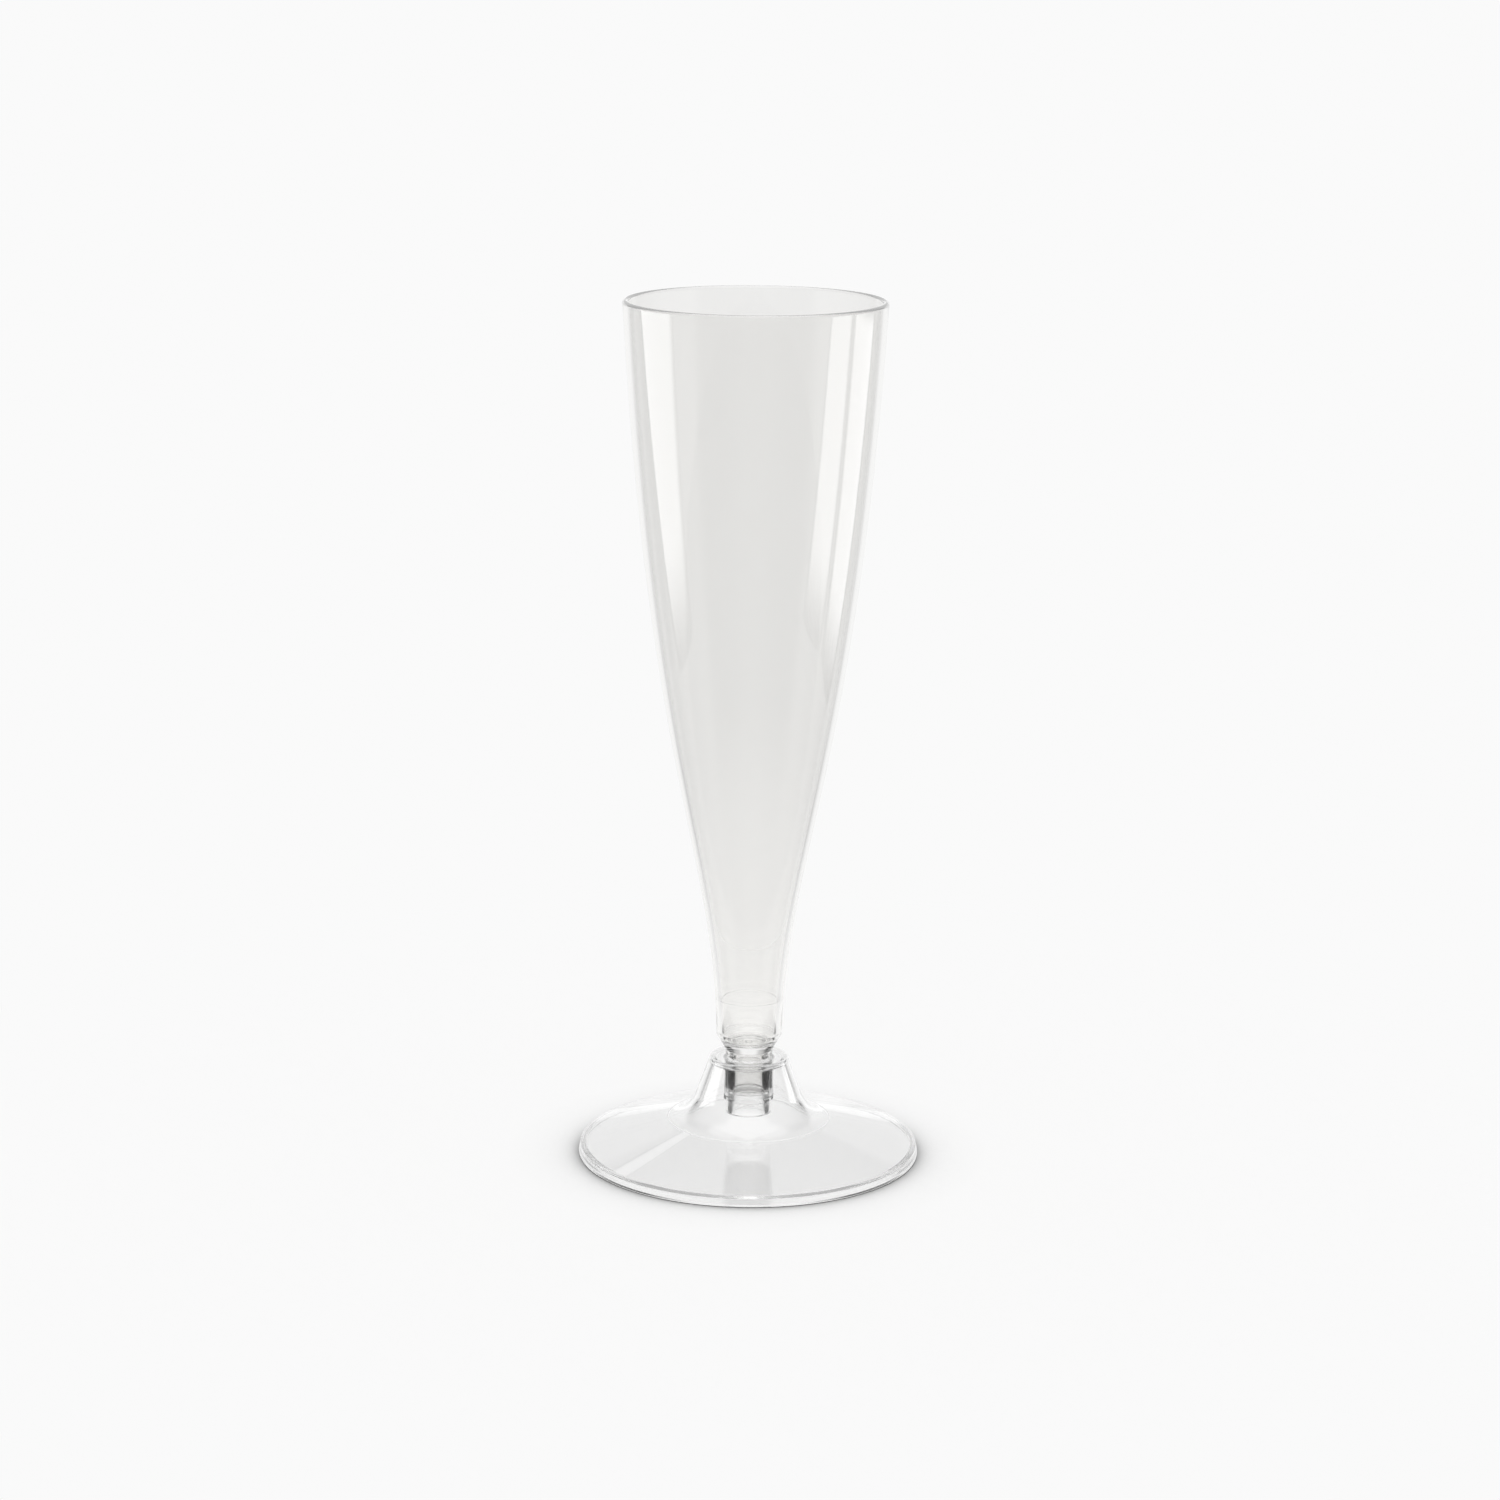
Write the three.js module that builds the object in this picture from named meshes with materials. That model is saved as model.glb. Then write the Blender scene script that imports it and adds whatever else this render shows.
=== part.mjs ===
// A plastic champagne glass in two clear mouldings: a slim flute with a hollow plug under it,
// and a wide foot whose hub carries a socket. The plug pushes down into the socket.
// Millimetres, +Z up. The origin is on the axis, on the surface that the glass stands on.

import * as THREE from 'three';

// The flute
const OVERALL_HEIGHT = 170;
const RIM_DIAMETER = 50.8;
const FLUTE_WALL = 1.2;
const RIM_LEAN = 3.2; // degrees from upright, at the rim
const BASE_LEAN = 1.3; // degrees from upright, at the base
const RIM_PULL = 91; // how far down the wall the lean of the rim is felt
const BASE_PULL = 35; // how far up the wall the lean of the base is felt
const CAVITY_FLOOR = 1.6; // plastic between the drink and the hollow of the neck
const CAVITY_FLOOR_RISE = 1.6; // of the cavity's floor above the top of the neck
const CAVITY_FLOOR_ROUNDING = 2;
const CAVITY_STEP = 0.1; // ledge round the inside, near the bottom
const CAVITY_STEP_HEIGHT = 8.9; // of that ledge above the cavity's floor
const CAVITY_DRAFT = 3; // degrees, below that ledge

// The neck and the plug, which are one moulding with the flute
const PLUG_DIAMETER = 8.3;
const PLUG_LENGTH = 7.2;
const PLUG_WALL = 1.05;
const PLUG_LEAD_IN = 0.4;
const NECK_STEP = 0.5; // how far the neck stands out from the plug, to sit on the hub
const NECK_LENGTH = 1.2;
const NECK_ROUNDING = 0.4;
const SHOULDER_WIDTH = 1.85; // how far the flute's base stands out from the neck
const SHOULDER_HEIGHT = 3.1;
const SHOULDER_ROUNDING = 1.5;
const CORE_DRAFT = 1; // degrees, of the hollow in the plug and neck, which is open below
const CORE_ROUNDING = 0.7;

// The foot
const FOOT_DIAMETER = 67.8;
const FOOT_WALL = 1.3;
const FOOT_EDGE_HEIGHT = 2.2;
const FOOT_EDGE_LEAN = 10; // degrees from upright
const FOOT_EDGE_ROUNDING = 0.7;
const FOOT_LAND = 1.6; // width of the flat ring that the glass stands on
const LAND_ROUNDING = 0.3;
const DISC_SLOPE = 15.7; // degrees from level
const HUB_HEIGHT = 19.9;
const HUB_TOP_WIDTH = 3.4; // of the flat top, from the socket's bore to its edge
const HUB_LEAN = 20; // degrees from upright
const HUB_ROUNDING = 0.6;
const HUB_FLARE = 7.9; // radius where the hub sweeps out into the disc
const SOCKET_WALL = 0.7;
const SOCKET_COLLAR = 1.6; // how far the thick part of the socket runs below the plug
const SOCKET_TAIL = 3; // length of the slimmer end below it
const SOCKET_TAIL_STEP = 0.45; // how much slimmer that end is, all round
const SOCKET_LEDGE = 0.95; // width of the ledge under the plug
const SOCKET_ROUNDING = 0.25;
const SOCKET_MOUTH_ROUNDING = 0.15;

// Clearances
const PLUG_CLEARANCE = 0.1; // round the plug, all the way
const SEAT_CLEARANCE = 0.2; // between the flute's neck and the top of the hub
const PLUG_END_CLEARANCE = 0.3;

// Fineness of the mesh
const SIDES = 48;
const FLUTE_STEPS = 16;
const FLARE_STEPS = 6;
const ROUND_STEPS = 3;
const LIP_STEPS = 6;
const HALVINGS = 40; // each halves the error of a radius that is searched for

const radians = THREE.MathUtils.degToRad;
const slopeOf = (lean) => Math.tan(radians(lean));
const point = (radius, height) => new THREE.Vector2(radius, height);

// Radii and heights that both mouldings share
const plugRadius = PLUG_DIAMETER / 2;
const boreRadius = plugRadius + PLUG_CLEARANCE;
const hubTopRadius = boreRadius + HUB_TOP_WIDTH;
const seatHeight = HUB_HEIGHT + SEAT_CLEARANCE;
const plugEnd = seatHeight - PLUG_LENGTH;
const socketLedge = plugEnd - PLUG_END_CLEARANCE;

// An arc that rounds one corner, kept inside the two straight runs that meet there.
function roundedCorner(before, corner, after, rounding, steps) {
  const back = before.clone().sub(corner);
  const ahead = after.clone().sub(corner);
  const room = Math.min(back.length(), ahead.length()) / 2;
  back.normalize();
  ahead.normalize();
  const half = Math.acos(THREE.MathUtils.clamp(back.dot(ahead), -1, 1)) / 2;
  const radius = Math.min(rounding, room * Math.tan(half));
  const centreLine = back.clone().add(ahead).normalize();
  const centre = corner.clone().addScaledVector(centreLine, radius / Math.sin(half));
  const reach = radius / Math.tan(half);
  const start = corner.clone().addScaledVector(back, reach).sub(centre);
  const end = corner.clone().addScaledVector(ahead, reach).sub(centre);
  const clockwise = start.cross(end) < 0;
  return new THREE.EllipseCurve(
    centre.x, centre.y, radius, radius, start.angle(), end.angle(), clockwise,
  ).getPoints(steps);
}

// A run of corners, each with its own rounding, as points. The first and last stay sharp
// unless the run closes on itself.
function roundedRun(corners, closed = false) {
  const count = corners.length;
  const run = corners.flatMap(({ at, rounding = 0, steps = ROUND_STEPS }, index) => {
    const isEnd = !closed && (index === 0 || index === count - 1);
    if (isEnd || rounding === 0) return [at.clone()];
    const before = corners[(index + count - 1) % count].at;
    const after = corners[(index + 1) % count].at;
    return roundedCorner(before, at, after, rounding, steps);
  });
  return closed ? [...run, run[0].clone()] : run;
}

// A solid turned about the upright axis from an outline of radius and height.
function turned(name, outline, material) {
  const mesh = new THREE.Mesh(new THREE.LatheGeometry(outline, SIDES), material);
  mesh.name = name;
  return mesh;
}

// The flute's outer wall, one easy S from its base to its rim.
function fluteWall(base, rim) {
  const basePull = point(base.x + BASE_PULL * slopeOf(BASE_LEAN), base.y + BASE_PULL);
  const rimPull = point(rim.x - RIM_PULL * slopeOf(RIM_LEAN), rim.y - RIM_PULL);
  return new THREE.CubicBezierCurve(base, basePull, rimPull, rim);
}

// The radius of a rising curve at one height, found by halving.
function radiusAt(curve, height) {
  let low = 0;
  let high = 1;
  for (let halving = 0; halving < HALVINGS; halving += 1) {
    const middle = (low + high) / 2;
    if (curve.getPoint(middle).y < height) low = middle;
    else high = middle;
  }
  return curve.getPoint(low).x;
}

function fluteOutline() {
  const lip = FLUTE_WALL / 2;
  const neckTop = seatHeight + NECK_LENGTH;
  const shoulderTop = neckTop + SHOULDER_HEIGHT;
  const neckRadius = plugRadius + NECK_STEP;
  const shoulderRadius = neckRadius + SHOULDER_WIDTH;
  const baseRadius = shoulderRadius + SHOULDER_ROUNDING * slopeOf(BASE_LEAN);
  const base = point(baseRadius, shoulderTop + SHOULDER_ROUNDING);
  const rim = point(RIM_DIAMETER / 2, OVERALL_HEIGHT - lip);
  const wall = fluteWall(base, rim);

  const floor = neckTop + CAVITY_FLOOR_RISE;
  const coreTop = floor - CAVITY_FLOOR;
  const coreRadius = plugRadius - PLUG_WALL;
  const coreTopRadius = coreRadius - (coreTop - plugEnd) * slopeOf(CORE_DRAFT);
  const outside = roundedRun([
    { at: point(0, coreTop) },
    { at: point(coreTopRadius, coreTop), rounding: CORE_ROUNDING },
    { at: point(coreRadius, plugEnd) },
    { at: point(plugRadius, plugEnd), rounding: PLUG_LEAD_IN },
    { at: point(plugRadius, seatHeight) },
    { at: point(neckRadius, seatHeight) },
    { at: point(neckRadius, neckTop), rounding: NECK_ROUNDING },
    { at: point(shoulderRadius, shoulderTop), rounding: SHOULDER_ROUNDING },
    { at: base },
  ]);

  const lipCentre = point(rim.x - lip, rim.y);
  const lipArc = new THREE.EllipseCurve(lipCentre.x, lipCentre.y, lip, lip, 0, Math.PI);

  const ledge = floor + CAVITY_STEP_HEIGHT;
  const ledgeRadius = radiusAt(wall, ledge) - FLUTE_WALL;
  const wellRadius = ledgeRadius - CAVITY_STEP;
  const floorRadius = wellRadius - CAVITY_STEP_HEIGHT * slopeOf(CAVITY_DRAFT);
  const wallPoints = wall.getPoints(FLUTE_STEPS).slice(1, -1);
  const innerPoints = wallPoints
    .filter((at) => at.y > ledge)
    .map((at) => point(at.x - FLUTE_WALL, at.y))
    .reverse();
  const inside = roundedRun([
    { at: point(ledgeRadius, ledge) },
    { at: point(wellRadius, ledge) },
    { at: point(floorRadius, floor), rounding: CAVITY_FLOOR_ROUNDING },
    { at: point(0, floor) },
  ]);
  return [...outside, ...wallPoints, ...lipArc.getPoints(LIP_STEPS), ...innerPoints, ...inside];
}

// Where the hub's leaning side meets the sloping disc, set in from the outer skin by a depth.
function hubMeetsDisc(edgeTop, depth) {
  const hubSlope = slopeOf(HUB_LEAN);
  const discSlope = slopeOf(DISC_SLOPE);
  const hubRadius = hubTopRadius - depth / Math.cos(radians(HUB_LEAN));
  const discHeight = edgeTop.y - depth / Math.cos(radians(DISC_SLOPE));
  const radius = (hubRadius + hubSlope * (HUB_HEIGHT - discHeight - discSlope * edgeTop.x))
    / (1 - hubSlope * discSlope);
  return point(radius, discHeight + discSlope * (edgeTop.x - radius));
}

function footOutline() {
  const footRadius = FOOT_DIAMETER / 2;
  const landRadius = footRadius - FOOT_LAND;
  const edgeTop = point(footRadius - FOOT_EDGE_HEIGHT * slopeOf(FOOT_EDGE_LEAN), FOOT_EDGE_HEIGHT);
  const outerBend = hubMeetsDisc(edgeTop, 0);
  const innerBend = hubMeetsDisc(edgeTop, FOOT_WALL);
  const discUnderside = innerBend.y - (landRadius - innerBend.x) * slopeOf(DISC_SLOPE);
  const hubCeiling = HUB_HEIGHT - FOOT_WALL;
  const hubCeilingRadius = innerBend.x - (hubCeiling - innerBend.y) * slopeOf(HUB_LEAN);

  const collarRadius = boreRadius + SOCKET_WALL;
  const collarEnd = socketLedge - SOCKET_COLLAR;
  const tailEnd = collarEnd - SOCKET_TAIL;
  const tailRadius = collarRadius - SOCKET_TAIL_STEP;
  const drainRadius = boreRadius - SOCKET_LEDGE;
  return roundedRun([
    { at: point(boreRadius, HUB_HEIGHT), rounding: SOCKET_MOUTH_ROUNDING },
    { at: point(boreRadius, socketLedge) },
    { at: point(drainRadius, socketLedge) },
    { at: point(drainRadius, tailEnd), rounding: SOCKET_ROUNDING },
    { at: point(tailRadius, tailEnd), rounding: SOCKET_ROUNDING },
    { at: point(tailRadius, collarEnd) },
    { at: point(collarRadius, collarEnd), rounding: SOCKET_ROUNDING },
    { at: point(collarRadius, hubCeiling), rounding: SOCKET_ROUNDING },
    { at: point(hubCeilingRadius, hubCeiling), rounding: HUB_ROUNDING },
    { at: innerBend, rounding: HUB_FLARE + FOOT_WALL, steps: FLARE_STEPS },
    { at: point(landRadius, discUnderside), rounding: LAND_ROUNDING },
    { at: point(landRadius, 0), rounding: LAND_ROUNDING },
    { at: point(footRadius, 0), rounding: LAND_ROUNDING },
    { at: edgeTop, rounding: FOOT_EDGE_ROUNDING },
    { at: outerBend, rounding: HUB_FLARE, steps: FLARE_STEPS },
    { at: point(hubTopRadius, HUB_HEIGHT), rounding: HUB_ROUNDING },
  ], true);
}

// Clear polystyrene
function clearPlastic() {
  return new THREE.MeshStandardMaterial({
    color: 0xf3f4f1, roughness: 0.06, metalness: 0, transparent: true, opacity: 0.3,
  });
}

// The outlines are turned about Y, and the group stands that axis up along +Z.
const glass = new THREE.Group();
glass.rotation.x = Math.PI / 2;
glass.add(turned('flute_bowl', fluteOutline(), clearPlastic()));
glass.add(turned('push_on_foot', footOutline(), clearPlastic()));

export default glass;
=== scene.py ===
# %% [markdown]
# # A plastic champagne glass in two clear mouldings
# The glass is a slim flute whose hollow plug pushes into the socket of a wide foot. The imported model
# says where both mouldings are and how large they are. This lesson turns a finer surface for each
# of them, gives both a clear plastic finish, and photographs them on a white sheet.

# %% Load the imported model
import math

import bmesh
import bpy
from mathutils import Matrix, Vector
from mathutils.geometry import interpolate_bezier


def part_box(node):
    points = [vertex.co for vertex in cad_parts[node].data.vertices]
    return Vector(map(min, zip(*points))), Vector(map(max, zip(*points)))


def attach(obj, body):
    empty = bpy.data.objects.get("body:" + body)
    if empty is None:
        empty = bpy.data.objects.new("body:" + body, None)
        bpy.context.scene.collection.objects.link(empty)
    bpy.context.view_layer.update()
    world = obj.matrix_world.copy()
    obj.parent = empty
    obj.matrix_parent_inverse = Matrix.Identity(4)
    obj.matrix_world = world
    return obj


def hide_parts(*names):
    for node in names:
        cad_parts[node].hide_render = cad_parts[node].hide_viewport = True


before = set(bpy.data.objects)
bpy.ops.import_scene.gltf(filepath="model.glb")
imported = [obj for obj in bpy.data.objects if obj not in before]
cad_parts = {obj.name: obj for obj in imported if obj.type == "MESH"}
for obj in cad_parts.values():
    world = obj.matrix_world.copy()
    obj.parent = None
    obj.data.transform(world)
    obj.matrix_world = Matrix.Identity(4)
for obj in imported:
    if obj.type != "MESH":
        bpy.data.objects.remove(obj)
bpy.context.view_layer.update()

MM = 0.001
flute_low, flute_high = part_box("flute_bowl")
foot_low, foot_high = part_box("push_on_foot")
RIM_RADIUS = flute_high.x
RIM_TOP = flute_high.z
PLUG_END = flute_low.z
FOOT_RADIUS = foot_high.x
HUB_TOP = foot_high.z
print(f"rim {RIM_RADIUS / MM:.1f} mm out and {RIM_TOP / MM:.1f} mm up, foot {FOOT_RADIUS / MM:.1f} mm out")

# %% [markdown]
# ## How a round moulding is drawn
# Both mouldings were cut in a mould on a lathe, so one outline of radius and height says everything
# about each of them. The outline could be drawn as a Bezier curve by hand. Here it is a list of
# corners, each with its own rounding, because those are the numbers a toolmaker would be given.

# %% Outlines with rounded corners
ROUND_STEPS = 7


def at(radius, height):
    return Vector((radius, height))


def slope_of(degrees):
    return math.tan(math.radians(degrees))


def rounded_corner(before, corner, after, rounding, steps):
    """The arc that eases one corner, kept inside the two straight runs that meet there."""
    back = before - corner
    ahead = after - corner
    half = back.angle(ahead) / 2
    room = min(back.length, ahead.length) / 2
    radius = min(rounding, room * math.tan(half))
    reach = radius / math.tan(half)
    start = corner + back.normalized() * reach
    end = corner + ahead.normalized() * reach
    towards_centre = (back.normalized() + ahead.normalized()).normalized()
    centre = corner + towards_centre * (radius / math.sin(half))
    turn = (start - centre).angle_signed(end - centre)
    spokes = [Matrix.Rotation(-turn * step / steps, 2) @ (start - centre) for step in range(steps + 1)]
    return [centre + spoke for spoke in spokes]


def rounded_run(corners, closed=False):
    """Points along a run of (corner, rounding) or (corner, rounding, steps). Its ends stay sharp."""
    places = [corner[0] for corner in corners]
    last = len(corners) - 1
    points = []
    for index, (place, rounding, *steps) in enumerate(corners):
        is_end = not closed and index in (0, last)
        if is_end or rounding == 0:
            points.append(place)
            continue
        before = places[index - 1]
        after = places[(index + 1) % len(places)]
        points += rounded_corner(before, place, after, rounding, *(steps or [ROUND_STEPS]))
    return points


# %% [markdown]
# ## Turning an outline
# Blender's Spin does what the lathe does: it sweeps a row of edges round an axis. The Screw modifier
# would do the same, but Spin leaves a finished mesh in which the seam and the points on the axis can
# be merged. Corners that turn sharply are marked sharp, and a Weighted Normal modifier keeps the
# long straight runs from taking on the bend of the small roundings beside them.

# %% A helper that turns a piece
SIDES = 240
MERGE_DISTANCE = 1e-7
SHARP_ANGLE = math.radians(32)


def turned_piece(name, outline, closed):
    """A solid of revolution about Z, as a new object."""
    work = bmesh.new()
    row = [work.verts.new((point.x, 0, point.y)) for point in outline]
    edges = [work.edges.new(pair) for pair in zip(row, row[1:])]
    if closed:
        edges.append(work.edges.new((row[-1], row[0])))
    bmesh.ops.spin(
        work, geom=row + edges, cent=(0, 0, 0), axis=(0, 0, 1), angle=math.tau, steps=SIDES, use_merge=True,
    )
    bmesh.ops.remove_doubles(work, verts=work.verts, dist=MERGE_DISTANCE)
    bmesh.ops.recalc_face_normals(work, faces=work.faces)
    mesh = bpy.data.meshes.new(name)
    work.to_mesh(mesh)
    work.free()
    mesh.shade_smooth()
    mesh.set_sharp_from_angle(angle=SHARP_ANGLE)
    piece = bpy.data.objects.new(name, mesh)
    bpy.context.scene.collection.objects.link(piece)
    weighted = piece.modifiers.new("even normals", "WEIGHTED_NORMAL")
    weighted.keep_sharp = True
    print(f"{name}: {len(mesh.vertices)} points, {len(mesh.polygons)} faces")
    return piece


# %% [markdown]
# ## The flute
# The flute is one moulding from lip to plug. Its wall is one easy S that could be traced point by
# point. A single Bezier span is smoother: the lean of the wall at the rim and at the base, and how
# far each lean is felt, are all it needs. The lip is a half circle as wide as the wall.

# %% Sizes of the flute
FLUTE_WALL = 1.2 * MM
RIM_LEAN = 3.2
BASE_LEAN = 1.3
RIM_PULL = 91 * MM
BASE_PULL = 35 * MM
WALL_STEPS = 96
LIP_STEPS = 14
SEAT_CLEARANCE = 0.2 * MM
NECK_LENGTH = 1.2 * MM
SHOULDER_HEIGHT = 3.1 * MM
SHOULDER_ROUNDING = 1.5 * MM
PLUG_RADIUS = 4.15 * MM
NECK_RADIUS = PLUG_RADIUS + 0.5 * MM
SHOULDER_RADIUS = NECK_RADIUS + 1.85 * MM
SEAT = HUB_TOP + SEAT_CLEARANCE
NECK_TOP = SEAT + NECK_LENGTH
SHOULDER_TOP = NECK_TOP + SHOULDER_HEIGHT
print(f"neck from {SEAT / MM:.1f} to {NECK_TOP / MM:.1f} mm up, shoulder {SHOULDER_RADIUS / MM:.2f} mm out")

# %% The flute's wall and lip
lip_radius = FLUTE_WALL / 2
base_point = at(SHOULDER_RADIUS + SHOULDER_ROUNDING * slope_of(BASE_LEAN), SHOULDER_TOP + SHOULDER_ROUNDING)
rim_point = at(RIM_RADIUS, RIM_TOP - lip_radius)
base_handle = base_point + at(BASE_PULL * slope_of(BASE_LEAN), BASE_PULL)
rim_handle = rim_point - at(RIM_PULL * slope_of(RIM_LEAN), RIM_PULL)
outer_wall = interpolate_bezier(base_point, base_handle, rim_handle, rim_point, WALL_STEPS)
inner_wall = [point - at(FLUTE_WALL, 0) for point in reversed(outer_wall)]
lip_centre = rim_point - at(lip_radius, 0)
lip_angles = [math.pi * step / LIP_STEPS for step in range(1, LIP_STEPS)]
lip = [lip_centre + at(lip_radius * math.cos(angle), lip_radius * math.sin(angle)) for angle in lip_angles]
print(f"wall from {base_point.x / MM:.2f} mm to {rim_point.x / MM:.2f} mm out in {len(outer_wall)} points")

# %% [markdown]
# ## The bottom of the drink, the neck and the plug
# The cavity ends in a short well, set in a little below a fine ledge, with a rounded floor. Under the
# floor the moulding narrows to a neck that sits on the hub, and a hollow plug goes on down. The
# pip in the hollow's ceiling is where the plastic was let into the mould and snapped off. All of it
# could be cut with booleans, but it is round as well, so it is a few more corners of the outline.

# %% The flute's outline
CAVITY_FLOOR = 1.6 * MM
FLOOR_RISE = 1.6 * MM
FLOOR_ROUNDING = 2 * MM
LEDGE_HEIGHT = 8.9 * MM
LEDGE_WIDTH = 0.1 * MM
LEDGE_ROUNDING = 0.045 * MM
WELL_DRAFT = 3
NECK_ROUNDING = 0.4 * MM
PLUG_WALL = 1.05 * MM
PLUG_LEAD_IN = 0.4 * MM
PLUG_EDGE = 0.12 * MM
CORE_DRAFT = 1
CORE_ROUNDING = 0.7 * MM
GATE_RADIUS = 0.6 * MM
GATE_HEIGHT = 0.35 * MM
GATE_ROUNDING = 0.15 * MM


def flute_outline():
    floor = NECK_TOP + FLOOR_RISE
    core_top = floor - CAVITY_FLOOR
    core_radius = PLUG_RADIUS - PLUG_WALL
    core_top_radius = core_radius - (core_top - PLUG_END) * slope_of(CORE_DRAFT)
    below = rounded_run([
        (at(0, core_top - GATE_HEIGHT), 0),
        (at(GATE_RADIUS, core_top - GATE_HEIGHT), GATE_ROUNDING),
        (at(GATE_RADIUS, core_top), GATE_ROUNDING),
        (at(core_top_radius, core_top), CORE_ROUNDING),
        (at(core_radius, PLUG_END), PLUG_EDGE),
        (at(PLUG_RADIUS, PLUG_END), PLUG_LEAD_IN),
        (at(PLUG_RADIUS, SEAT), PLUG_EDGE),
        (at(NECK_RADIUS, SEAT), PLUG_EDGE),
        (at(NECK_RADIUS, NECK_TOP), NECK_ROUNDING),
        (at(SHOULDER_RADIUS, SHOULDER_TOP), SHOULDER_ROUNDING),
        (base_point, 0),
    ])
    ledge = floor + LEDGE_HEIGHT
    above_ledge = [point for point in inner_wall if point.y > ledge + LEDGE_ROUNDING]
    ledge_radius = above_ledge[-1].x
    well_radius = ledge_radius - LEDGE_WIDTH
    well_floor_radius = well_radius - LEDGE_HEIGHT * slope_of(WELL_DRAFT)
    inside = rounded_run([
        (above_ledge[-1], 0),
        (at(ledge_radius, ledge), LEDGE_ROUNDING),
        (at(well_radius, ledge), LEDGE_ROUNDING),
        (at(well_floor_radius, floor), FLOOR_ROUNDING),
        (at(0, floor), 0),
    ])
    return below[:-1] + outer_wall + lip + above_ledge[:-1] + inside


flute = turned_piece("clear_flute", flute_outline(), closed=False)
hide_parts("flute_bowl")
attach(flute, "bowl")

# %% [markdown]
# ## The foot
# The foot is a thin shell: a flat-topped hub that sweeps out into a sloping disc, with a short
# upright edge that stands on a narrow flat ring. A socket hangs inside the hub. Its bore takes the
# plug down to a ledge, and its outside steps in below that ledge. The shell could be made with a
# Solidify modifier. Drawing both skins keeps the thick places thick, and those show in clear plastic.

# %% Sizes of the foot
FOOT_WALL = 1.3 * MM
EDGE_HEIGHT = 2.2 * MM
EDGE_LEAN = 10
EDGE_ROUNDING = 0.7 * MM
LAND_WIDTH = 1.6 * MM
LAND_ROUNDING = 0.3 * MM
DISC_SLOPE = 15.7
HUB_TOP_WIDTH = 3.4 * MM
HUB_LEAN = 20
HUB_ROUNDING = 0.6 * MM
HUB_FLARE = 7.9 * MM
FLARE_STEPS = 20
PLUG_CLEARANCE = 0.1 * MM
PLUG_END_CLEARANCE = 0.3 * MM
SOCKET_WALL = 0.7 * MM
SOCKET_COLLAR = 1.6 * MM
SOCKET_TAIL = 3 * MM
SOCKET_TAIL_STEP = 0.45 * MM
SOCKET_LEDGE = 0.95 * MM
SOCKET_ROUNDING = 0.25 * MM
SOCKET_EDGE = 0.12 * MM
BORE_RADIUS = PLUG_RADIUS + PLUG_CLEARANCE
HUB_TOP_RADIUS = BORE_RADIUS + HUB_TOP_WIDTH
print(f"bore {BORE_RADIUS / MM:.2f} mm and hub {HUB_TOP_RADIUS / MM:.2f} mm out at the top")

# %% [markdown]
# ## The fine ring on the foot
# Where the hub's sweep runs out into the disc, a fine ring shows. It is probably where two inserts of
# the mould meet. It could be painted with a bump, but a bump does not show in the exported mesh. Here
# it is three more points in the outline: a groove about as deep as a hair is thick.

# %% Helpers for the foot's outline
RING_RADIUS = 16 * MM
RING_WIDTH = 0.4 * MM
RING_DEPTH = 0.07 * MM


def hub_meets_disc(edge_top, depth):
    """Where the hub's leaning side meets the sloping disc, set in from the outer skin by a depth."""
    hub_slope = slope_of(HUB_LEAN)
    disc_slope = slope_of(DISC_SLOPE)
    hub_radius = HUB_TOP_RADIUS - depth / math.cos(math.radians(HUB_LEAN))
    disc_height = edge_top.y - depth / math.cos(math.radians(DISC_SLOPE))
    rise = HUB_TOP - disc_height - disc_slope * edge_top.x
    radius = (hub_radius + hub_slope * rise) / (1 - hub_slope * disc_slope)
    return at(radius, disc_height + disc_slope * (edge_top.x - radius))


def with_fine_ring(points):
    """Cuts a shallow groove where the upper skin, which runs inward, passes the ring's radius."""
    spans = list(zip(points, points[1:]))
    index = next(index for index, (outer, inner) in enumerate(spans) if outer.x > RING_RADIUS > inner.x)
    outer, inner = spans[index]
    groove = []
    for offset, depth in ((RING_WIDTH / 2, 0), (0, RING_DEPTH), (-RING_WIDTH / 2, 0)):
        share = (outer.x - RING_RADIUS - offset) / (outer.x - inner.x)
        groove.append(outer.lerp(inner, share) - at(0, depth))
    return points[:index + 1] + groove + points[index + 1:]


# %% The foot's outline


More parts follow.
